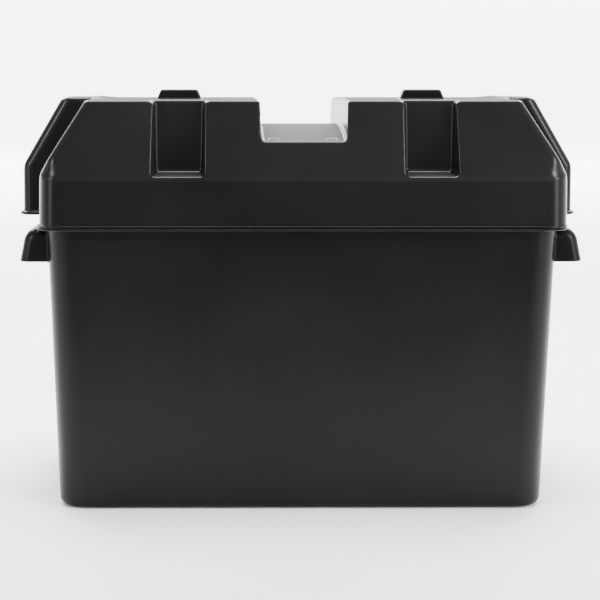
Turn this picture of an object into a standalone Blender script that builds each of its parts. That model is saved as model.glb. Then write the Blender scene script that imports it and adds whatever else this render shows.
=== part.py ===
"""Snap-top battery box with a twelve-volt deep-cycle battery inside.

The box is a tapered tub with two hollow end handles and a lid with a strap channel, four
pockets and two cable hoods.  Metres, +Z up, origin under the centre of the tub, length on X.
"""

import math

import bmesh
import bpy

MM = 0.001

# Tub
TUB_HEIGHT = 197.6
TUB_FOOT = (171.4, 94.4)  # half length and half width near the floor
TUB_TOP = (176.4, 97.9)  # the same just under the rim
TUB_WALL = 2.8
RIM = (183.4, 105.6)
RIM_Z = 194.0
HANDLE_BOTTOM = 172.8
HANDLE_HALF_WIDTH = 77.5

# Lid
LID_REST = 198.0
LID_TOP = 285.0
FOLD_Z = 235.0
SKIRT = (181.0, 103.5)
FOLD = (179.7, 102.8)
CROWN = (148.7, 84.2)
LID_WALL = 2.6
HOOD_REACH = 202.0
HOOD_HALF_WIDTH = 32.0
HOOD_BOTTOM = 202.0
CHANNEL_TOP, CHANNEL_FLOOR = 30.6, 28.4
CHANNEL_FRONT_Z, CHANNEL_CROWN = 257.5, 9.0
POCKET_X = (66.4, 105.2)
POCKET_Z = 235.6
TAB_Y = (-53.5, -40.5)

# Battery
BATTERY = (165.0, 86.5)
CASE_BOTTOM, CASE_TOP = 3.5, 196.0
COVER_BOTTOM, COVER_TOP = 196.3, 216.3
CELLS = 6
CASE_WALL, PARTITION = 3.0, 2.0
PLATES = 9
PLATE_THICK, PLATE_PITCH = 2.4, 5.4
PLATE_HALF_WIDTH = 74.0
PLATE_Z = (12.0, 160.0)
SHEET_THICK = 1.2
STRAP_Z = (168.0, 177.0)
STRAP_HALF_LENGTH = 22.5
STRAP_Y = 62.0
POST_RADIUS = 10.5
STUD_RADIUS = 4.7
STUD_TOP = 239.5
VENT_Y = 12.0
VENT_RADIUS = 9.0
BAIL_PIVOT_X, BAIL_PIVOT_Z = 152.0, 220.2
BAIL_REACH = 40.0

CELL_WIDTH = (2 * (BATTERY[0] - CASE_WALL) - (CELLS - 1) * PARTITION) / CELLS
CELL_STEP = CELL_WIDTH + PARTITION

for old in list(bpy.data.objects):
    bpy.data.objects.remove(old, do_unlink=True)

parts = bpy.data.collections.new("Battery box")
cutters = bpy.data.collections.new("Cutters")
for group in (parts, cutters):
    bpy.context.scene.collection.children.link(group)


def material(name, colour, roughness, metallic=0.0):
    made = bpy.data.materials.new(name)
    made.use_nodes = True
    shader = made.node_tree.nodes["Principled BSDF"]
    shader.inputs["Base Color"].default_value = (*colour, 1.0)
    shader.inputs["Roughness"].default_value = roughness
    shader.inputs["Metallic"].default_value = metallic
    return made


def add(name, mesh, look=None, origin=(0, 0, 0), smooth=35):
    """Link an object; without a look it is a cutter.  Meshes are drawn about their origin."""
    obj = bpy.data.objects.new(name, mesh)
    obj.location = [value * MM for value in origin]
    if look is None:
        cutters.objects.link(obj)
        obj.hide_render = True
        obj.display_type = "WIRE"
        return obj
    parts.objects.link(obj)
    mesh.materials.append(material(name, *look))
    mesh.shade_smooth()
    mesh.set_sharp_from_angle(angle=math.radians(smooth))
    return obj


def boolean(obj, other, operation="DIFFERENCE"):
    step = obj.modifiers.new(f"{operation.title()} {other.name}", "BOOLEAN")
    step.operation = operation
    step.object = other
    step.solver = "EXACT"


def rounded_ring(half_x, half_y, radius, segments):
    """Points of a rounded rectangle, counterclockwise."""
    points = []
    for corner, (sx, sy) in enumerate(((1, 1), (-1, 1), (-1, -1), (1, -1))):
        cx, cy = sx * (half_x - radius), sy * (half_y - radius)
        for k in range(segments + 1):
            angle = math.radians(90 * corner + 90 * k / segments)
            points.append((cx + radius * math.cos(angle), cy + radius * math.sin(angle)))
    return points


def skin(rings):
    """A closed body lofted through rings of equal count, capped at both ends."""
    body = bmesh.new()
    rows = [[body.verts.new([v * MM for v in point]) for point in ring] for ring in rings]
    count = len(rows[0])
    for lower, upper in zip(rows, rows[1:]):
        for i in range(count):
            j = (i + 1) % count
            body.faces.new((lower[i], lower[j], upper[j], upper[i]))
    body.faces.new(reversed(rows[0]))
    body.faces.new(rows[-1])
    bmesh.ops.recalc_face_normals(body, faces=body.faces)
    mesh = bpy.data.meshes.new("loft")
    body.to_mesh(mesh)
    body.free()
    return mesh


def shell_form(sections, segments=4):
    """Loft of rounded rectangles, each (z, half length, half width, corner radius)."""
    return skin([[(x, y, z) for x, y in rounded_ring(a, b, r, segments)] for z, a, b, r in sections])


def prism(outline, start, end, axis="Z"):
    """Extrude flat outlines along an axis; the outline's pair is the other two axes in order."""
    body = bmesh.new()
    outlines = outline if isinstance(outline[0][0], (tuple, list)) else [outline]
    starts = start if isinstance(start, (tuple, list)) else [start] * len(outlines)
    ends = end if isinstance(end, (tuple, list)) else [end] * len(outlines)
    place = {
        "X": lambda a, b, c: (c, a, b),
        "Y": lambda a, b, c: (a, c, b),
        "Z": lambda a, b, c: (a, b, c),
    }[axis]
    for points, low, high in zip(outlines, starts, ends):
        face = body.faces.new([body.verts.new([v * MM for v in place(a, b, low)]) for a, b in points])
        lifted = bmesh.ops.extrude_face_region(body, geom=[face])["geom"]
        moved = [item for item in lifted if isinstance(item, bmesh.types.BMVert)]
        bmesh.ops.translate(body, verts=moved, vec=[v * MM for v in place(0, 0, high - low)])
    bmesh.ops.recalc_face_normals(body, faces=body.faces)
    mesh = bpy.data.meshes.new("prism")
    body.to_mesh(mesh)
    body.free()
    return mesh


def box(x0, x1, y0, y1, z0, z1):
    body = bmesh.new()
    bmesh.ops.create_cube(body, size=1.0)
    for vert in body.verts:
        vert.co.x = (x0 if vert.co.x < 0 else x1) * MM
        vert.co.y = (y0 if vert.co.y < 0 else y1) * MM
        vert.co.z = (z0 if vert.co.z < 0 else z1) * MM
    mesh = bpy.data.meshes.new("box")
    body.to_mesh(mesh)
    body.free()
    return mesh


def turned(profile, sides=24):
    """A turned body: (radius, z) pairs from the bottom up, capped at both ends."""
    rings = []
    for radius, z in profile:
        turn = [2 * math.pi * k / sides for k in range(sides)]
        rings.append([(radius * math.cos(a), radius * math.sin(a), z) for a in turn])
    return skin(rings)


# --- Tub -----------------------------------------------------------------------------------
PLASTIC = ((0.016, 0.016, 0.017), 0.42)

tub_solid = add("tub solid", shell_form([
    (0.0, TUB_FOOT[0] - 4.6, TUB_FOOT[1] - 4.6, 15.0),
    (1.4, TUB_FOOT[0] - 1.6, TUB_FOOT[1] - 1.6, 17.5),
    (5.0, *TUB_FOOT, 19.0),
    (RIM_Z, *TUB_TOP, 20.5),
    (RIM_Z, *RIM, 22.0),
    (TUB_HEIGHT, *RIM, 22.0),
]))
tub_hollow = add("tub hollow", shell_form([
    (3.2, TUB_FOOT[0] - 4.4, TUB_FOOT[1] - 4.4, 15.0),
    (6.4, TUB_FOOT[0] - TUB_WALL, TUB_FOOT[1] - TUB_WALL, 16.2),
    (TUB_HEIGHT + 2, TUB_TOP[0] - TUB_WALL, TUB_TOP[1] - TUB_WALL, 17.7),
]))
grip_hollow = add("grip hollow", shell_form([
    (HANDLE_BOTTOM - 3, 194.6, HANDLE_HALF_WIDTH - 2.4, 7.6),
    (184.5, 192.5, HANDLE_HALF_WIDTH - 2.4, 7.6),
    (189.6, 189.9, HANDLE_HALF_WIDTH - 2.8, 7.2),
    (193.6, 184.6, HANDLE_HALF_WIDTH - 4.0, 6.2),
]))
box_tub = add("box_tub", shell_form([
    (HANDLE_BOTTOM, 197.0, HANDLE_HALF_WIDTH, 10.0),
    (185.0, 195.0, HANDLE_HALF_WIDTH, 10.0),
    (191.5, 192.0, HANDLE_HALF_WIDTH - 0.4, 9.6),
    (195.2, 187.2, HANDLE_HALF_WIDTH - 1.6, 8.6),
    (196.6, 182.0, HANDLE_HALF_WIDTH - 3.0, 8.0),
]), PLASTIC)
boolean(box_tub, grip_hollow)
boolean(box_tub, tub_solid, "UNION")
boolean(box_tub, tub_hollow)

# --- Lid -----------------------------------------------------------------------------------


def channel_form(grow):
    """The strap channel across the top, its floor bowed up in the middle."""
    rings = []
    for k in range(9):
        y = -110 + 220 * k / 8
        floor = CHANNEL_FRONT_Z + CHANNEL_CROWN * max(0.0, 1 - (y / 94.0) ** 2) - grow
        top = LID_TOP + 4
        wide, narrow = CHANNEL_TOP + grow + 0.3, CHANNEL_FLOOR + grow
        rings.append([(-narrow, y, floor), (narrow, y, floor), (wide, y, top), (-wide, y, top)])
    return skin(rings)


def pocket_form(side, front, grow):
    """One pocket in the sloping face: drafted sides, upright inner wall, open at the top edge."""
    rings = []
    for foot, head, x0, x1, z in ((112.0, 112.0, POCKET_X[0], POCKET_X[1], POCKET_Z - 1.2),
                                  (80.6 - grow, 78.0 - grow, POCKET_X[0] + 3.6, POCKET_X[1] - 4.2,
                                   POCKET_Z + 1.8)):
        low, high, top = x0 - grow, x1 + grow, LID_TOP + 3
        ring = [(low, foot, z - grow), (high, foot, z - grow), (high + 1.0, head, top),
                (low - 1.0, head, top)]
        rings.append([(side * x, front * y, z) for x, y, z in ring])
    return skin(rings)


lid_solid = add("lid solid", shell_form([
    (190.0, 172.8, 94.4, 17.0),
    (LID_REST, 172.8, 94.4, 17.0),
    (LID_REST, SKIRT[0] + 1.2, SKIRT[1] + 1.0, 17.0),
    (200.4, SKIRT[0] + 1.2, SKIRT[1] + 1.0, 17.0),
    (200.4, *SKIRT, 16.0),
    (FOLD_Z, *FOLD, 15.0),
    (FOLD_Z + 12, FOLD[0] - 7.4, FOLD[1] - 4.5, 7.0),
    (LID_TOP - 1.6, CROWN[0] + 0.9, CROWN[1] + 0.7, 6.0),
    (LID_TOP, CROWN[0] - 1.2, CROWN[1] - 1.2, 5.0),
]))
hood_hollow = add("hood hollow", shell_form([
    (186.0, HOOD_REACH - LID_WALL, HOOD_HALF_WIDTH - LID_WALL, 5.6),
    (FOLD_Z + 1.6, HOOD_REACH - LID_WALL - 0.3, HOOD_HALF_WIDTH - LID_WALL, 5.6),
    (LID_TOP - LID_WALL - 0.6, 168.4, HOOD_HALF_WIDTH - LID_WALL - 1, 5.0),
]))
lid_hollow = add("lid hollow", shell_form([
    (186.0, 170.8, 92.4, 15.0),
    (200.6, 170.8, 92.4, 15.0),
    (203.4, SKIRT[0] - LID_WALL, SKIRT[1] - LID_WALL, 13.4),
    (FOLD_Z - 0.5, FOLD[0] - LID_WALL, FOLD[1] - LID_WALL, 12.4),
    (FOLD_Z + 11, FOLD[0] - 10.0, FOLD[1] - 7.0, 5.0),
    (LID_TOP - LID_WALL, CROWN[0] - 1.6, CROWN[1] - 1.8, 4.0),
]))
boolean(lid_hollow, hood_hollow, "UNION")
box_lid = add("box_lid", shell_form([
    (HOOD_BOTTOM, HOOD_REACH + 1.4, HOOD_HALF_WIDTH + 1.4, 9.4),
    (203.8, HOOD_REACH + 1.2, HOOD_HALF_WIDTH + 1.2, 9.2),
    (206.0, HOOD_REACH, HOOD_HALF_WIDTH, 8.0),
    (FOLD_Z + 3, HOOD_REACH - 0.4, HOOD_HALF_WIDTH, 8.0),
    (LID_TOP - 0.6, 170.2, HOOD_HALF_WIDTH - 1, 7.5),
]), PLASTIC)
boolean(box_lid, lid_solid, "UNION")
for side in (-1, 1):
    lug = [(69.0 * side, 283.6), (101.4 * side, 283.6), (98.4 * side, 292.0), (72.8 * side, 292.0)]
    boolean(box_lid, add(f"lug {side}", prism(lug, *TAB_Y, axis="Y")), "UNION")
boolean(lid_hollow, add("channel keep", channel_form(LID_WALL)))
boolean(box_lid, add("channel cut", channel_form(0.0)))
for side in (-1, 1):
    for front in (-1, 1):
        tag = f"{side} {front}"
        boolean(lid_hollow, add(f"pocket keep {tag}", pocket_form(side, front, LID_WALL)))
        boolean(box_lid, add(f"pocket cut {tag}", pocket_form(side, front, 0.0)))
boolean(box_lid, lid_hollow)

# --- Battery case and cover ----------------------------------------------------------------
cells_x = [(k - (CELLS - 1) / 2) * CELL_STEP for k in range(CELLS)]
front_side = [-1 if k % 2 == 0 else 1 for k in range(CELLS)]  # side of each cell's positive strap

battery_case = add("battery_case", shell_form([
    (CASE_BOTTOM, BATTERY[0] - 1.6, BATTERY[1] - 1.6, 4.0),
    (CASE_BOTTOM + 1.6, *BATTERY, 5.0),
    (CASE_TOP, *BATTERY, 5.0),
], segments=3), ((0.03, 0.03, 0.032), 0.5))
half = CELL_WIDTH / 2
for k, x in enumerate(cells_x):
    hollow = box(x - half, x + half, -BATTERY[1] + CASE_WALL, BATTERY[1] - CASE_WALL,
                 CASE_BOTTOM + CASE_WALL, CASE_TOP + 2)
    boolean(battery_case, add(f"cell hollow {k + 1}", hollow))


def along_x(mesh):
    for vert in mesh.vertices:
        vert.co = (vert.co.z, vert.co.y, vert.co.x)
    mesh.flip_normals()
    return mesh


strap_mid = (STRAP_Z[0] + STRAP_Z[1]) / 2
for k in range(CELLS - 1):
    x = (cells_x[k] + cells_x[k + 1]) / 2
    y = -front_side[k] * STRAP_Y
    hole = add(f"partition hole {k + 1}", along_x(turned([(4.1, -3), (4.1, 3)], 12)),
               origin=(x, y, strap_mid))
    boolean(battery_case, hole)
    reach = CELL_STEP / 2 - STRAP_HALF_LENGTH - 0.3
    add(f"cell_connector_{k + 1}", along_x(turned([(3.8, -reach), (3.8, reach)], 12)),
        ((0.2, 0.2, 0.21), 0.5, 1.0), origin=(x, y, strap_mid))

battery_cover = add("battery_cover", shell_form([
    (COVER_BOTTOM, *BATTERY, 5.0),
    (COVER_TOP - 3, *BATTERY, 5.0),
    (COVER_TOP, BATTERY[0] - 3, BATTERY[1] - 3, 4.0),
], segments=3), ((0.02, 0.02, 0.021), 0.45))
boolean(battery_cover, add("cover hollow", shell_form([
    (COVER_BOTTOM - 3, BATTERY[0] - 3.2, BATTERY[1] - 3.2, 3.0),
    (COVER_TOP - 3.4, BATTERY[0] - 3.4, BATTERY[1] - 3.4, 3.0),
], segments=2)))
for side, name in ((-1, "left"), (1, "right")):
    bore = add(f"bracket bore {name}", turned([(3.4, -56), (3.4, 56)], 12),
               origin=(side * BAIL_PIVOT_X, 0, BAIL_PIVOT_Z))
    bore.rotation_euler = (math.radians(90), 0, 0)
    for end, place in ((-1, "front"), (1, "back")):
        x, y = side * BAIL_PIVOT_X, end * 47.5
        low, high, top = COVER_TOP + 0.3, BAIL_PIVOT_Z + 2.5, BAIL_PIVOT_Z + 5
        arch = [(x - 7.0, low), (x + 7.0, low), (x + 5.5, high), (x + 2.6, top), (x - 2.6, top),
                (x - 5.5, high)]
        bracket = add(f"handle_bracket_{name}_{place}", prism(arch, y - 4.0, y + 4.0, axis="Y"),
                      ((0.02, 0.02, 0.021), 0.45))
        boolean(bracket, bore)

# --- Plates, separators and straps in each cell --------------------------------------------
LEAD = ((0.16, 0.16, 0.17), 0.55, 1.0)


def plate_group(x, side, indices):
    """Plates with one lug each, joined by a strap on the given side of the cell."""
    y0, y1 = sorted((side * (STRAP_Y - 5.0), side * (STRAP_Y + 5.0)))
    w = PLATE_HALF_WIDTH
    outline = [(-w, PLATE_Z[0]), (w, PLATE_Z[0]), (w, PLATE_Z[1]), (y1, PLATE_Z[1]),
               (y1, STRAP_Z[0] + 3), (y0, STRAP_Z[0] + 3), (y0, PLATE_Z[1]), (-w, PLATE_Z[1])]
    low = [x + (i - (PLATES - 1) / 2) * PLATE_PITCH - PLATE_THICK / 2 for i in indices]
    high = [value + PLATE_THICK for value in low]
    return prism([outline] * len(low), low, high, axis="X")


for k, x in enumerate(cells_x):
    for kind, side, indices in (("positive", front_side[k], range(1, PLATES, 2)),
                                ("negative", -front_side[k], range(0, PLATES, 2))):
        y0, y1 = side * STRAP_Y - 7.5, side * STRAP_Y + 7.5
        strap = box(x - STRAP_HALF_LENGTH, x + STRAP_HALF_LENGTH, y0, y1, *STRAP_Z)
        look = LEAD if kind == "negative" else ((0.11, 0.07, 0.05), 0.7, 0.3)
        plates = add(f"{kind}_plates_{k + 1}", strap, look)
        boolean(plates, add(f"{kind} grids {k + 1}", plate_group(x, side, list(indices))), "UNION")

    # One separator sheet, folded round the plates' upright edges with a leg between each pair.
    legs = [x + (i - PLATES / 2 + 1) * PLATE_PITCH for i in range(PLATES - 1)]
    t, end = SHEET_THICK, PLATE_HALF_WIDTH + 1.6
    strips = [[(leg - t / 2, -end), (leg + t / 2, -end), (leg + t / 2, end), (leg - t / 2, end)]
              for leg in legs]
    sheet = add(f"separator_{k + 1}", prism(strips[0], 9.5, 163.0), ((0.55, 0.55, 0.5), 0.8))
    rest = add(f"separator legs {k + 1}", prism(strips[1:], 9.5, 163.0))
    folds = []
    for i in range(len(legs) - 1):
        y = (end if i % 2 == 0 else -end)
        low, high = sorted((y - math.copysign(0.2, y), y + math.copysign(t, y)))
        folds.append([(legs[i] - t / 2, low), (legs[i + 1] + t / 2, low),
                      (legs[i + 1] + t / 2, high), (legs[i] - t / 2, high)])
    turns = add(f"separator folds {k + 1}", prism(folds, 9.5, 163.0))
    boolean(sheet, turns, "UNION")
    boolean(sheet, rest, "UNION")

# --- Terminals -----------------------------------------------------------------------------
for kind, x in (("positive", cells_x[0]), ("negative", cells_x[-1])):
    at = (x, -STRAP_Y, 0)
    post_hole = turned([(POST_RADIUS + 0.3, 200), (POST_RADIUS + 0.3, 230)])
    boolean(battery_cover, add(f"{kind} post hole", post_hole, origin=at))
    post = add(f"{kind}_post", turned([
        (6.8, STRAP_Z[1] + 0.3), (6.8, 204.0), (POST_RADIUS, 208.0), (POST_RADIUS, 222.6),
        (POST_RADIUS - 1, 224.0)]), LEAD, origin=at)
    stud_hole = turned([(STUD_RADIUS + 0.3, 210.0), (STUD_RADIUS + 0.3, 230)], 20)
    boolean(post, add(f"{kind} stud hole", stud_hole, origin=at))
    add(f"{kind}_stud", turned([(STUD_RADIUS, 210.3), (STUD_RADIUS, STUD_TOP - 1), (3.8, STUD_TOP)], 20),
        ((0.62, 0.62, 0.63), 0.3, 1.0), origin=at)
    washer = add(f"{kind}_washer", turned([(9.4, 224.3), (9.4, 225.9)]), ((0.6, 0.6, 0.62), 0.3, 1.0),
                 origin=at)
    nut = add(f"{kind}_wing_nut", turned([(8.4, 226.2), (7.4, 231.5), (6.6, 233.8)], 20),
              ((0.5, 0.5, 0.52), 0.35, 1.0), origin=at)
    wing = [(-13.6, 236.6), (-6.0, 228.6), (6.0, 228.6), (13.6, 236.6), (10.6, 238.4), (5.4, 233.2),
            (-5.4, 233.2), (-10.6, 238.4)]
    boolean(nut, add(f"{kind} wings", prism(wing, -1.3, 1.3, axis="Y"), origin=at), "UNION")
    bore = turned([(STUD_RADIUS + 0.3, 215), (STUD_RADIUS + 0.3, 245)], 20)
    bore = add(f"{kind} nut bore", bore, origin=at)
    boolean(nut, bore)
    boolean(washer, bore)

# --- Vent caps -----------------------------------------------------------------------------
for k, x in enumerate(cells_x):
    at = (x, VENT_Y, 0)
    neck = turned([(VENT_RADIUS + 0.3, 205), (VENT_RADIUS + 0.3, 230)])
    boolean(battery_cover, add(f"vent hole {k + 1}", neck, origin=at))
    cap = add(f"vent_cap_{k + 1}", turned([
        (VENT_RADIUS - 1.5, 204.0), (VENT_RADIUS, 206.0), (VENT_RADIUS, COVER_TOP + 0.3),
        (12.6, COVER_TOP + 0.3), (12.6, COVER_TOP + 3.6), (11.4, COVER_TOP + 4.8)]),
        ((0.02, 0.02, 0.022), 0.4), origin=at)
    slot = box(-8.0, 8.0, -1.2, 1.2, COVER_TOP + 3.0, COVER_TOP + 8)
    boolean(cap, add(f"cap slot {k + 1}", slot, origin=at))

# --- Carrying handles on the battery -------------------------------------------------------
for side, name in ((-1, "battery_handle_left"), (1, "battery_handle_right")):
    path = [(0, -51.0), (0, -42.0), (0, -38.0), (3.0, -35.0), (BAIL_REACH - 5, -35.0),
            (BAIL_REACH, -30.0), (BAIL_REACH, 30.0), (BAIL_REACH - 5, 35.0), (3.0, 35.0),
            (0, 38.0), (0, 42.0), (0, 51.0)]
    curve = bpy.data.curves.new(name, "CURVE")
    curve.dimensions = "3D"
    curve.bevel_depth = 3.0 * MM
    curve.bevel_resolution = 2
    curve.use_fill_caps = True
    line = curve.splines.new("POLY")
    line.points.add(len(path) - 1)
    for point, (x, y) in zip(line.points, path):
        point.co = (-side * x * MM, y * MM, 0, 1)
    curve.materials.append(material(name, (0.02, 0.02, 0.02), 0.5))
    handle = bpy.data.objects.new(name, curve)
    handle.location = (side * BAIL_PIVOT_X * MM, 0, BAIL_PIVOT_Z * MM)
    parts.objects.link(handle)
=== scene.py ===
import math

import bmesh
import bpy
import numpy as np
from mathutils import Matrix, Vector


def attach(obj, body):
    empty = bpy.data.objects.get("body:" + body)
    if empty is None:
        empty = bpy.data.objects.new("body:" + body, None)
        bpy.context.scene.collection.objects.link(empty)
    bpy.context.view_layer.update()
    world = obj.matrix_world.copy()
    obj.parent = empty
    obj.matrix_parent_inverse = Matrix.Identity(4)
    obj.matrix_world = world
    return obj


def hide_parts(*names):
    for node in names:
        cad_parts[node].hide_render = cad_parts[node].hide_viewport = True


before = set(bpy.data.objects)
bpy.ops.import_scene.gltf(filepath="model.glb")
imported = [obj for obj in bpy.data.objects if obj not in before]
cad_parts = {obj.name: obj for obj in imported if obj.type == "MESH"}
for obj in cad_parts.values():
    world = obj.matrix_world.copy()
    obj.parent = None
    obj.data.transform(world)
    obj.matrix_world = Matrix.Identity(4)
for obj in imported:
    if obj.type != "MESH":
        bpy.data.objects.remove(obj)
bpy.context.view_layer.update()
MM = 0.001

# Sizes that several shapes share, in millimetres.
LID_TOP, LID_FOOT = 285.0, 198.95
LID_WALL, TUB_WALL, GRIP_WALL = 2.5, 2.8, 2.4
SKIRT_DATUM = 200.4  # height at which the lid's half sizes are given
END_FOLD, FACE_FOLD = 235.0, 233.2  # heights of the folds above the lid's ends and faces
HOOD_MOUTH, HOOD_FOLD = 202.0, 238.0
CHANNEL_FLOOR, CHANNEL_CROWN = 257.5, 9.0
POCKET_DATUM = 237.0  # height at which the pockets' half sizes are given
LUG_TOP = 292.0
RIM_TOP = 198.7
GRIP_FOOT = 172.8

# --------------------------------------------------------------------------------------
# Signed distance fields, in millimetres.  Negative is inside.
# --------------------------------------------------------------------------------------


def cut(a, b, r):
    """Intersection with the convex edge rounded to radius r."""
    if np.ndim(r) == 0 and r <= 0:
        return np.maximum(a, b)
    u, v = np.maximum(r + a, 0), np.maximum(r + b, 0)
    return np.minimum(-r, np.maximum(a, b)) + np.sqrt(u * u + v * v)


def join(a, b, r):
    """Union with the concave corner filleted to radius r."""
    if r <= 0:
        return np.minimum(a, b)
    u, v = np.maximum(r - a, 0), np.maximum(r - b, 0)
    return np.maximum(r, np.minimum(a, b)) - np.sqrt(u * u + v * v)


def carve(a, b, r):
    """a with b taken away, its new edges rounded."""
    return cut(a, -b, r)


def slab(value, low, high, r=0.0):
    return cut(low - value, value - high, r)


def plan(x, y, half_x, half_y, r):
    """Rounded rectangle seen from above."""
    return cut(np.abs(x) - half_x, np.abs(y) - half_y, r)


# --------------------------------------------------------------------------------------
# Dual contouring on a rectilinear grid
# --------------------------------------------------------------------------------------


def spans(*pairs):
    """Grid lines: the first value, then (end, step) pairs."""
    lines = [pairs[0]]
    for end, step in pairs[1:]:
        count = max(1, int(round((end - lines[-1]) / step)))
        lines += list(np.linspace(lines[-1], end, count + 1)[1:])
    return np.array(lines, np.float64)


def mirrored(*pairs):
    """The same from zero, on both sides of it."""
    lines = spans(*pairs)
    return np.concatenate([-lines[:0:-1], lines])


def contour(field, xs, ys, zs, name):
    """A closed smooth-shaded mesh of the field's zero surface."""
    f = field(xs[:, None, None], ys[None, :, None], zs[None, None, :])
    f = f.astype(np.float32)
    f = np.where(np.abs(f) < 1e-5, np.float32(1e-5), f)
    inside = f < 0
    shape = np.array(f.shape)
    corner = sum(
        inside[a : shape[0] - 1 + a, b : shape[1] - 1 + b, c : shape[2] - 1 + c].astype(np.int8)
        for a in (0, 1) for b in (0, 1) for c in (0, 1)
    )
    cells = np.argwhere((corner > 0) & (corner < 8))
    index = np.full(shape - 1, -1, np.int32)
    index[tuple(cells.T)] = np.arange(len(cells))
    total, count = np.zeros((len(cells), 3)), np.zeros(len(cells))
    grid = (xs, ys, zs)
    for axis in range(3):
        others = [k for k in range(3) if k != axis]
        for a in (0, 1):
            for b in (0, 1):
                p = cells.copy()
                p[:, others[0]] += a
                p[:, others[1]] += b
                q = p.copy()
                q[:, axis] += 1
                fp, fq = f[tuple(p.T)], f[tuple(q.T)]
                hit = (fp < 0) != (fq < 0)
                t = np.where(hit, fp / np.where(hit, fp - fq, 1), 0)
                point = np.stack([grid[k][p[:, k]] for k in range(3)], axis=1)
                point[:, axis] += t * (grid[axis][q[:, axis]] - grid[axis][p[:, axis]])
                total += point * hit[:, None]
                count += hit
    points = total / count[:, None]
    low = np.stack([grid[k][cells[:, k]] for k in range(3)], axis=1)
    high = np.stack([grid[k][cells[:, k] + 1] for k in range(3)], axis=1)

    def gradient(p, h=0.02):
        rows = []
        for axis in range(3):
            step = np.zeros(3)
            step[axis] = h
            ahead, behind = p + step, p - step
            rows.append(field(*ahead.T) - field(*behind.T))
        g = np.stack(rows, axis=1) / (2 * h)
        return g, np.linalg.norm(g, axis=1)

    for _ in range(4):
        g, size = gradient(points)
        value = field(*points.T)
        points = points - g * (value / np.maximum(size, 0.2) ** 2)[:, None] * 0.9
        points = np.clip(points, low, high)
    g, size = gradient(points, 0.05)
    normals = g / np.maximum(size, 1e-6)[:, None]

    faces = []
    for axis in range(3):
        u, v = [k for k in range(3) if k != axis]
        ahead = [slice(None)] * 3
        behind = [slice(None)] * 3
        ahead[axis], behind[axis] = slice(1, None), slice(None, -1)
        change = inside[tuple(behind)] != inside[tuple(ahead)]
        at = np.argwhere(change)
        within = (at[:, u] < shape[u] - 1) & (at[:, v] < shape[v] - 1)
        at = at[(at[:, u] > 0) & (at[:, v] > 0) & within]
        quad = []
        for du, dv in ((1, 1), (0, 1), (0, 0), (1, 0)):
            p = at.copy()
            p[:, u] -= du
            p[:, v] -= dv
            quad.append(index[tuple(p.T)])
        quad = np.stack(quad, axis=1)
        out = inside[tuple(at.T)]
        flip = out if axis != 1 else ~out
        quad[~flip] = quad[~flip][:, ::-1]
        faces.append(quad)
    faces = np.concatenate(faces)
    mesh = bpy.data.meshes.new(name)
    mesh.vertices.add(len(points))
    mesh.vertices.foreach_set("co", (points * MM).astype(np.float32).ravel())
    mesh.loops.add(faces.size)
    mesh.loops.foreach_set("vertex_index", faces.astype(np.int32).ravel())
    mesh.polygons.add(len(faces))
    mesh.polygons.foreach_set("loop_start", np.arange(0, faces.size, 4, dtype=np.int32))
    mesh.update(calc_edges=True)
    mesh.validate()
    mesh.shade_smooth()
    if len(mesh.vertices) == len(normals):
        mesh.normals_split_custom_set_from_vertices(normals.astype(np.float32))
    obj = bpy.data.objects.new(name, mesh)
    bpy.context.scene.collection.objects.link(obj)
    return obj


# --------------------------------------------------------------------------------------
# Lid
# --------------------------------------------------------------------------------------
# Run of each slope for a unit of height: the lid's ends, its faces and the hoods.
END_RUN, FACE_RUN, HOOD_RUN = 0.62, 0.358, 0.595


def lid_walls(x, y, z):
    """The lid's outside with nothing cut from it, open below."""
    u, v = np.abs(x - 0.5), np.abs(y)
    end_slope = (u - 180.3 + END_RUN * (z - END_FOLD)) / math.hypot(1, END_RUN)
    end = cut(u - 181.2 + 0.022 * (z - SKIRT_DATUM), end_slope, 1.5)
    face_slope = (v - 102.85 + FACE_RUN * (z - FACE_FOLD)) / math.hypot(1, FACE_RUN)
    face = cut(v - 103.5 + 0.02 * (z - SKIRT_DATUM), face_slope, 1.0)
    # The upright corners are full, and tighten above the fold where the slopes meet.
    t = np.clip((248.0 - z) / 16.0, 0, 1)
    walls = cut(end, face, 4.5 + 10.5 * t * t * (3 - 2 * t))
    return cut(walls, z - LID_TOP, 1.8)


def hood_walls(x, y, z):
    """The cable hoods on both ends, as one bar through the lid."""
    u = np.abs(x + 0.6)
    slope = (u - 198.9 + HOOD_RUN * (z - HOOD_FOLD)) / math.hypot(1, HOOD_RUN)
    end = cut(u - 199.4 + 0.01 * (z - 200.0), slope, 1.8)
    walls = cut(end, np.abs(y) - 32.0 + 0.02 * (z - 200.0), 7.0)
    top = 284.2 + 2.2 * np.clip((np.abs(x) - 134.0) / 12.0, 0, 1)
    return cut(walls, z - top, 3.0)


def flare(z, r):
    """How far a wall has rolled back near the top of the lid."""
    rise = np.clip(z - (LID_TOP - r), 0, r * 0.999)
    return r - np.sqrt(r * r - rise * rise)


def channel(x, y, z):
    """The strap's channel, with two round marks near the front of its crowned floor."""
    side = np.abs(x - 0.8) - 29.2 - 0.028 * (z - CHANNEL_FLOOR) - flare(z, 2.4)
    floor = CHANNEL_FLOOR + CHANNEL_CROWN * np.clip(1 - (y / 94.0) ** 2, 0, 1) - z
    for centre in (-20.2, 20.2):
        pin = np.hypot(x - centre, y + 88.0) - 3.8
        floor = floor - 0.35 * np.clip(0.5 - pin, 0, 1)
    return cut(side, floor, 3.0)


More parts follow.
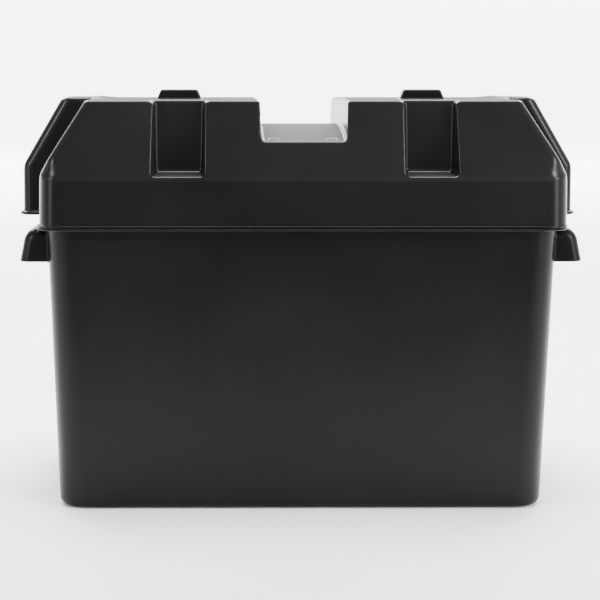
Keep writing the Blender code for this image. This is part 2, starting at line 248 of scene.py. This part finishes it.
def pocket(x, y, z):
    """The four pockets, which widen towards the lid's faces."""
    rise = z - POCKET_DATUM
    wall = 80.8 - 0.052 * rise
    away = (np.abs(y) - wall) / 22.0
    u = np.abs(x - 1.2)
    roll = flare(z, 4.5)
    left = (69.8 - 1.5 * away) - u - 0.022 * rise - roll
    right = u - (102.4 + 1.9 * away) - 0.006 * rise - roll
    floor = (235.4 - 1.6 * away) - z
    return cut(cut(cut(left, right, 0), floor, 2.8), wall - np.abs(y), 2.4)


def lid_form(x, y, z):
    """The lid's whole outside, with the channel and pockets cut."""
    form = join(lid_walls(x, y, z), hood_walls(x, y, z), 3.5)
    form = carve(form, channel(x, y, z), 1.5)
    return carve(form, pocket(x, y, z), 1.7)


def lid_field(x, y, z):
    """The hollow lid with its lip, skirt and lugs."""
    form = lid_form(x, y, z)
    lip = cut(plan(x - 0.4, y, 182.0, 104.0, 16.6), slab(z, 198.9, 200.3, 0.15), 0.15)
    # The hood reaches past the walls and stops higher up, with a small flare at its mouth.
    hood = hood_walls(x, y, z)
    beyond = cut(-lid_walls(x, y, z), hood, 0)
    solid = cut(form, LID_FOOT - z, 0.2)
    solid = carve(solid, cut(beyond, z - HOOD_MOUTH, 0), 0.6)
    mouth = cut(cut(hood - 2.3, -(hood + 1.0), 0.6), slab(z, HOOD_MOUTH, 204.2, 0.9), 0.9)
    lugs = slab(y, -53.5, -40.5, 0)
    lean = (np.abs(np.abs(x) - 85.4) - 16.3 + 0.42 * (z - 284.0)) / 1.085
    lugs = cut(cut(cut(lugs, lean, 1.2), z - LUG_TOP, 1.2), 280.0 - z, 0)
    solid = join(solid, lugs, 1.2)
    solid = np.maximum(solid, -(form + LID_WALL))
    solid = join(solid, mouth, 1.2)
    ledge = cut(plan(x, y, 182.0, 104.3, 17.0), -plan(x, y, 170.8, 92.4, 15.0), 0)
    ledge = cut(ledge, slab(z, 198.9, 200.3, 0), 0.2)
    skirt = cut(plan(x, y, 172.8, 94.4, 17.0), -plan(x, y, 170.8, 92.4, 15.0), 0.6)
    skirt = cut(skirt, slab(z, 190.0, 200.4, 0.8), 0.8)
    inner = join(join(lip, skirt, 0.5), ledge, 0.5)
    inner = np.maximum(inner, -plan(x, y, 171.0, 92.6, 15.0))
    # The lip and skirt leave the way from the hoods open.
    inner = np.maximum(inner, -np.maximum(hood + LID_WALL, 150 - np.abs(x)))
    return np.minimum(solid, inner)


# --------------------------------------------------------------------------------------
# Tub
# --------------------------------------------------------------------------------------


def tub_walls(x, y, z):
    """The tapered outside, open above and below."""
    rise = z - 5
    return cut(np.abs(x) - 171.4 - 0.02645 * rise, np.abs(y) - 94.4 - 0.01852 * rise, 20.0)


def grip_walls(x, y, z):
    """The handles at both ends, as one bar through the tub."""
    rise = z - GRIP_FOOT
    end = cut(np.abs(x) - 197.2 + 0.2 * rise, z - 197.2, 9.5)
    return cut(end, np.abs(y) - 77.5 + 0.06 * rise, 8.0)


def tub_field(x, y, z):
    """The hollow tub with its handles and rim."""
    walls = tub_walls(x, y, z)
    body = cut(walls, -z, 5.0)
    grip = grip_walls(x, y, z)
    grip = cut(np.maximum(grip, -(grip + GRIP_WALL)), GRIP_FOOT - z, 0.9)
    rim = cut(plan(x, y, 183.4, 105.7, 22.0), slab(z, 196.9, RIM_TOP, 0.85), 0.85)
    solid = join(body, grip, 2.0)
    solid = join(solid, rim, 1.0)
    hollow = cut(walls + TUB_WALL, 3.2 - z, 4.5)
    return carve(cut(solid, z - RIM_TOP, 0.8), hollow, 0.7)


fine = 1.0  # grid step where the shape is detailed
lid_mesh = contour(
    lid_field,
    mirrored(0.0, (15, 3), (37, fine), (60, 2), (112, fine), (132, 2), (206, fine)),
    np.concatenate([spans(-106.5, (-102, 0.5), (-72, fine), (-56, 2), (-18, fine)),
                    spans(-18.0, (18, 2), (36, fine), (72, 2), (102, fine), (106.5, 0.5))[1:]]),
    spans(188.0, (196, 1.0), (201.5, 0.5), (208, 0.8), (226, 2), (294, fine)),
    "lid_shell")
tub_mesh = contour(
    tub_field,
    mirrored(0.0, (144, 9), (200, fine)),
    mirrored(0.0, (60, 7), (101, fine), (108, 0.6)),
    spans(-2.0, (14, 0.9), (160, 9), (168, 2), (195, 0.9), (200.2, 0.4)),
    "tub_shell")

# --------------------------------------------------------------------------------------
# Materials
# --------------------------------------------------------------------------------------


def plastic(name, colour, rough, bump=0.12, grain=900.0, sheen=0.28, top=0.0):
    mat = bpy.data.materials.new(name)
    mat.use_nodes = True
    nodes, links = mat.node_tree.nodes, mat.node_tree.links
    shader = nodes["Principled BSDF"]
    shader.inputs["Specular IOR Level"].default_value = sheen
    coords = nodes.new("ShaderNodeTexCoord")

    def noise(scale, detail, roughness=0.55):
        node = nodes.new("ShaderNodeTexNoise")
        node.inputs["Scale"].default_value = scale
        node.inputs["Detail"].default_value = detail
        node.inputs["Roughness"].default_value = roughness
        links.new(coords.outputs["Object"], node.inputs["Vector"])
        return node

    def ramp(source, low, high, a, b):
        node = nodes.new("ShaderNodeMapRange")
        node.inputs["From Min"].default_value = low
        node.inputs["From Max"].default_value = high
        node.inputs["To Min"].default_value = a
        node.inputs["To Max"].default_value = b
        links.new(source, node.inputs["Value"])
        return node.outputs["Result"]

    wide, fine_noise = noise(14.0, 3.0), noise(grain, 2.0)
    mix = nodes.new("ShaderNodeMix")
    mix.data_type = "RGBA"
    mix.inputs["A"].default_value = (*[c * 0.86 for c in colour], 1)
    mix.inputs["B"].default_value = (*[c * 1.16 for c in colour], 1)
    links.new(ramp(wide.outputs["Fac"], 0.3, 0.7, 0, 1), mix.inputs["Factor"])
    links.new(mix.outputs["Result"], shader.inputs["Base Color"])
    worn = ramp(wide.outputs["Fac"], 0.25, 0.75, rough - 0.035, rough + 0.035)
    if top:
        # The flat faces on top carry a coarser, duller grain.
        split = nodes.new("ShaderNodeSeparateXYZ")
        links.new(coords.outputs["Normal"], split.inputs["Vector"])
        dull = nodes.new("ShaderNodeMath")
        dull.operation = "ADD"
        links.new(worn, dull.inputs[0])
        links.new(ramp(split.outputs["Z"], 0.9, 0.985, 0, top), dull.inputs[1])
        worn = dull.outputs["Value"]
    links.new(worn, shader.inputs["Roughness"])
    node = nodes.new("ShaderNodeBump")
    node.inputs["Strength"].default_value = bump
    node.inputs["Distance"].default_value = 0.0002
    links.new(fine_noise.outputs["Fac"], node.inputs["Height"])
    links.new(node.outputs["Normal"], shader.inputs["Normal"])
    return mat


tub_look = plastic("tub plastic", (0.0056, 0.0055, 0.0055), 0.3, sheen=0.115)
lid_look = plastic("lid plastic", (0.0066, 0.0064, 0.0062), 0.25, sheen=0.18, top=0.5)
for look in (tub_look, lid_look):
    shader = look.node_tree.nodes["Principled BSDF"]
    shader.inputs["Specular Tint"].default_value = (1, 0.95, 0.94, 1)
case_look = plastic("case plastic", (0.03, 0.03, 0.032), 0.5)
cover_look = plastic("cover plastic", (0.02, 0.02, 0.021), 0.42)
small_look = plastic("small plastic", (0.018, 0.018, 0.02), 0.36)
sheet_look = plastic("separator sheet", (0.62, 0.62, 0.56), 0.8, 0.4, 1500)


def metal(name, colour, rough, grain=600.0, bump=0.15, metallic=1.0):
    mat = plastic(name, colour, rough, bump, grain)
    mat.node_tree.nodes["Principled BSDF"].inputs["Metallic"].default_value = metallic
    return mat


lead_look = metal("lead", (0.3, 0.3, 0.32), 0.5, 300.0, 0.35)
steel_look = metal("stainless", (0.62, 0.62, 0.63), 0.26)
nut_look = metal("nut steel", (0.5, 0.5, 0.52), 0.34)
negative_look = metal("grey plate", (0.17, 0.17, 0.18), 0.75, 800.0, 0.5, 0.4)
positive_look = metal("brown plate", (0.09, 0.05, 0.035), 0.8, 800.0, 0.5, 0.1)

lid_mesh.data.materials.append(lid_look)
tub_mesh.data.materials.append(tub_look)
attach(lid_mesh, "lid")
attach(tub_mesh, "tub")
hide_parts("box_lid")
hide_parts("box_tub")



def look_of(name):
    """The material of a CAD piece that is shown as it is."""
    starts = {"battery_case": case_look, "battery_cover": cover_look, "separator": sheet_look,
              "negative_plates": negative_look, "positive_plates": positive_look,
              "cell_connector": lead_look}
    ends = {"_post": lead_look, "_stud": steel_look, "_washer": steel_look, "_wing_nut": nut_look}
    for start, look in starts.items():
        if name.startswith(start):
            return look
    for end, look in ends.items():
        if name.endswith(end):
            return look
    return small_look


for name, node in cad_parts.items():
    if name in ("box_tub", "box_lid"):
        continue
    look = look_of(name)
    for k in range(len(node.material_slots)):
        node.material_slots[k].material = look

# --------------------------------------------------------------------------------------
# Camera, floor and light
# --------------------------------------------------------------------------------------
camera = bpy.data.cameras.new("camera")
camera.lens = 88.86
camera.sensor_width = 36.0
camera.shift_x = 0.1
shot = bpy.data.objects.new("camera", camera)
shot.location = (-0.0482, -1.1035, 0.2994)
shot.rotation_euler = (math.radians(81.5), 0, math.radians(-0.3))
bpy.context.scene.collection.objects.link(shot)
bpy.context.scene.camera = shot

body = bmesh.new()
bmesh.ops.create_grid(body, x_segments=1, y_segments=1, size=40.0)
floor_mesh = bpy.data.meshes.new("floor")
body.to_mesh(floor_mesh)
body.free()
floor = bpy.data.objects.new("floor", floor_mesh)
bpy.context.scene.collection.objects.link(floor)
floor.location.z = -0.0004
floor_look = bpy.data.materials.new("floor")
floor_look.use_nodes = True
nodes, links = floor_look.node_tree.nodes, floor_look.node_tree.links
shader = nodes["Principled BSDF"]
shader.inputs["Roughness"].default_value = 0.9
shader.inputs["Specular IOR Level"].default_value = 0.1
# Painted shade on the floor: pale round the box and greyed well in front of it, where the camera
# doesn't look, so that the box's faces mirror a dim room.
coords = nodes.new("ShaderNodeTexCoord")
split = nodes.new("ShaderNodeSeparateXYZ")
links.new(coords.outputs["Object"], split.inputs["Vector"])
away = nodes.new("ShaderNodeMapRange")
away.interpolation_type = "SMOOTHSTEP"
away.inputs["From Min"].default_value = -0.85
away.inputs["From Max"].default_value = -0.22
links.new(split.outputs["Y"], away.inputs["Value"])
# The painted shade's mix: dark grey far in front of the box, pale near it.
floor_painted_shade = nodes.new("ShaderNodeMix")
floor_painted_shade.data_type = "RGBA"
floor_painted_shade.inputs["A"].default_value = (0.13, 0.13, 0.13, 1)
floor_painted_shade.inputs["B"].default_value = (0.9, 0.9, 0.9, 1)
links.new(away.outputs["Result"], floor_painted_shade.inputs["Factor"])
links.new(floor_painted_shade.outputs["Result"], shader.inputs["Base Color"])
# Far behind the box the floor glows, so that it meets the backdrop with no line between them.
glow = nodes.new("ShaderNodeMapRange")
glow.interpolation_type = "SMOOTHSTEP"
glow.inputs["From Min"].default_value = 1.6
glow.inputs["From Max"].default_value = 4.5
glow.inputs["To Max"].default_value = 5.6
links.new(split.outputs["Y"], glow.inputs["Value"])
shader.inputs["Emission Color"].default_value = (1, 1, 1, 1)
links.new(glow.outputs["Result"], shader.inputs["Emission Strength"])
floor_mesh.materials.append(floor_look)

world = bpy.data.worlds.new("studio")
world.use_nodes = True
nodes, links = world.node_tree.nodes, world.node_tree.links
sky = nodes.new("ShaderNodeTexCoord")
split = nodes.new("ShaderNodeSeparateXYZ")
links.new(sky.outputs["Generated"], split.inputs["Vector"])


def fade(source, low, high, amount):
    node = nodes.new("ShaderNodeMapRange")
    node.interpolation_type = "SMOOTHSTEP"
    node.inputs["From Min"].default_value = low
    node.inputs["From Max"].default_value = high
    node.inputs["To Min"].default_value = 0.0
    node.inputs["To Max"].default_value = amount
    links.new(source, node.inputs["Value"])
    return node.outputs["Result"]


def arithmetic(operation, a, b):
    node = nodes.new("ShaderNodeMath")
    node.operation = operation
    for value, socket in zip((a, b), node.inputs):
        if isinstance(value, float):
            socket.default_value = value
        else:
            links.new(value, socket)
    return node.outputs["Value"]


def total(a, b):
    return arithmetic("ADD", a, b)


def times(a, b):
    return arithmetic("MULTIPLY", a, b)


# A dim room: a pale band round it above the horizon, and a white backdrop low behind the box.
x_out, y_out, z_out = (split.outputs[k] for k in "XYZ")
band = total(fade(z_out, 0.0, 0.16, 0.78), fade(z_out, 0.6, 0.85, -0.5))
band = total(band, total(fade(z_out, 0.02, 0.1, 0.35), fade(z_out, 0.18, 0.42, -0.5)))
side = total(fade(x_out, -0.1, 0.25, 0.7), 1.0)
backdrop = times(fade(y_out, 0.5, 0.95, 6.5), total(fade(z_out, 0.06, 0.2, -0.72), 1.0))
# The room's two side walls are pale too, low down.
ends = nodes.new("ShaderNodeMath")
ends.operation = "ABSOLUTE"
links.new(x_out, ends.inputs[0])
walls = times(fade(ends.outputs["Value"], 0.8, 0.97, 1.1), total(fade(z_out, 0.05, 0.2, -1.0), 1.0))
room = total(total(times(band, side), backdrop), total(walls, 0.06))
links.new(room, nodes["Background"].inputs["Strength"])
nodes["Background"].inputs["Color"].default_value = (1, 1, 1, 1)
bpy.context.scene.world = world


def lamp(name, place, aim, size, power):
    light = bpy.data.lights.new(name, "AREA")
    light.shape = "RECTANGLE"
    light.size, light.size_y = size
    light.energy = power
    obj = bpy.data.objects.new(name, light)
    obj.location = place
    obj.rotation_euler = (Vector(aim) - Vector(place)).to_track_quat("-Z", "Y").to_euler()
    bpy.context.scene.collection.objects.link(obj)
    return obj


lamp("top", (0.0, 0.0, 1.3), (0, 0.0, 0.2), (0.9, 0.8), 48)
lamp("left front", (-1.55, -1.05, 0.65), (0, 0, 0.3), (0.45, 1.2), 11)
lamp("right front", (1.48, -1.04, 0.65), (0, 0, 0.3), (0.45, 1.2), 20)
lamp("left key", (-1.5, -1.0, 1.05), (0, 0, 0.25), (0.34, 0.3), 7)
lamp("right key", (1.42, -1.0, 1.05), (0, 0, 0.25), (0.34, 0.3), 15)
lamp("back", (0.0, 2.8, 2.4), (0, 1.8, 0), (5.0, 2.6), 700)
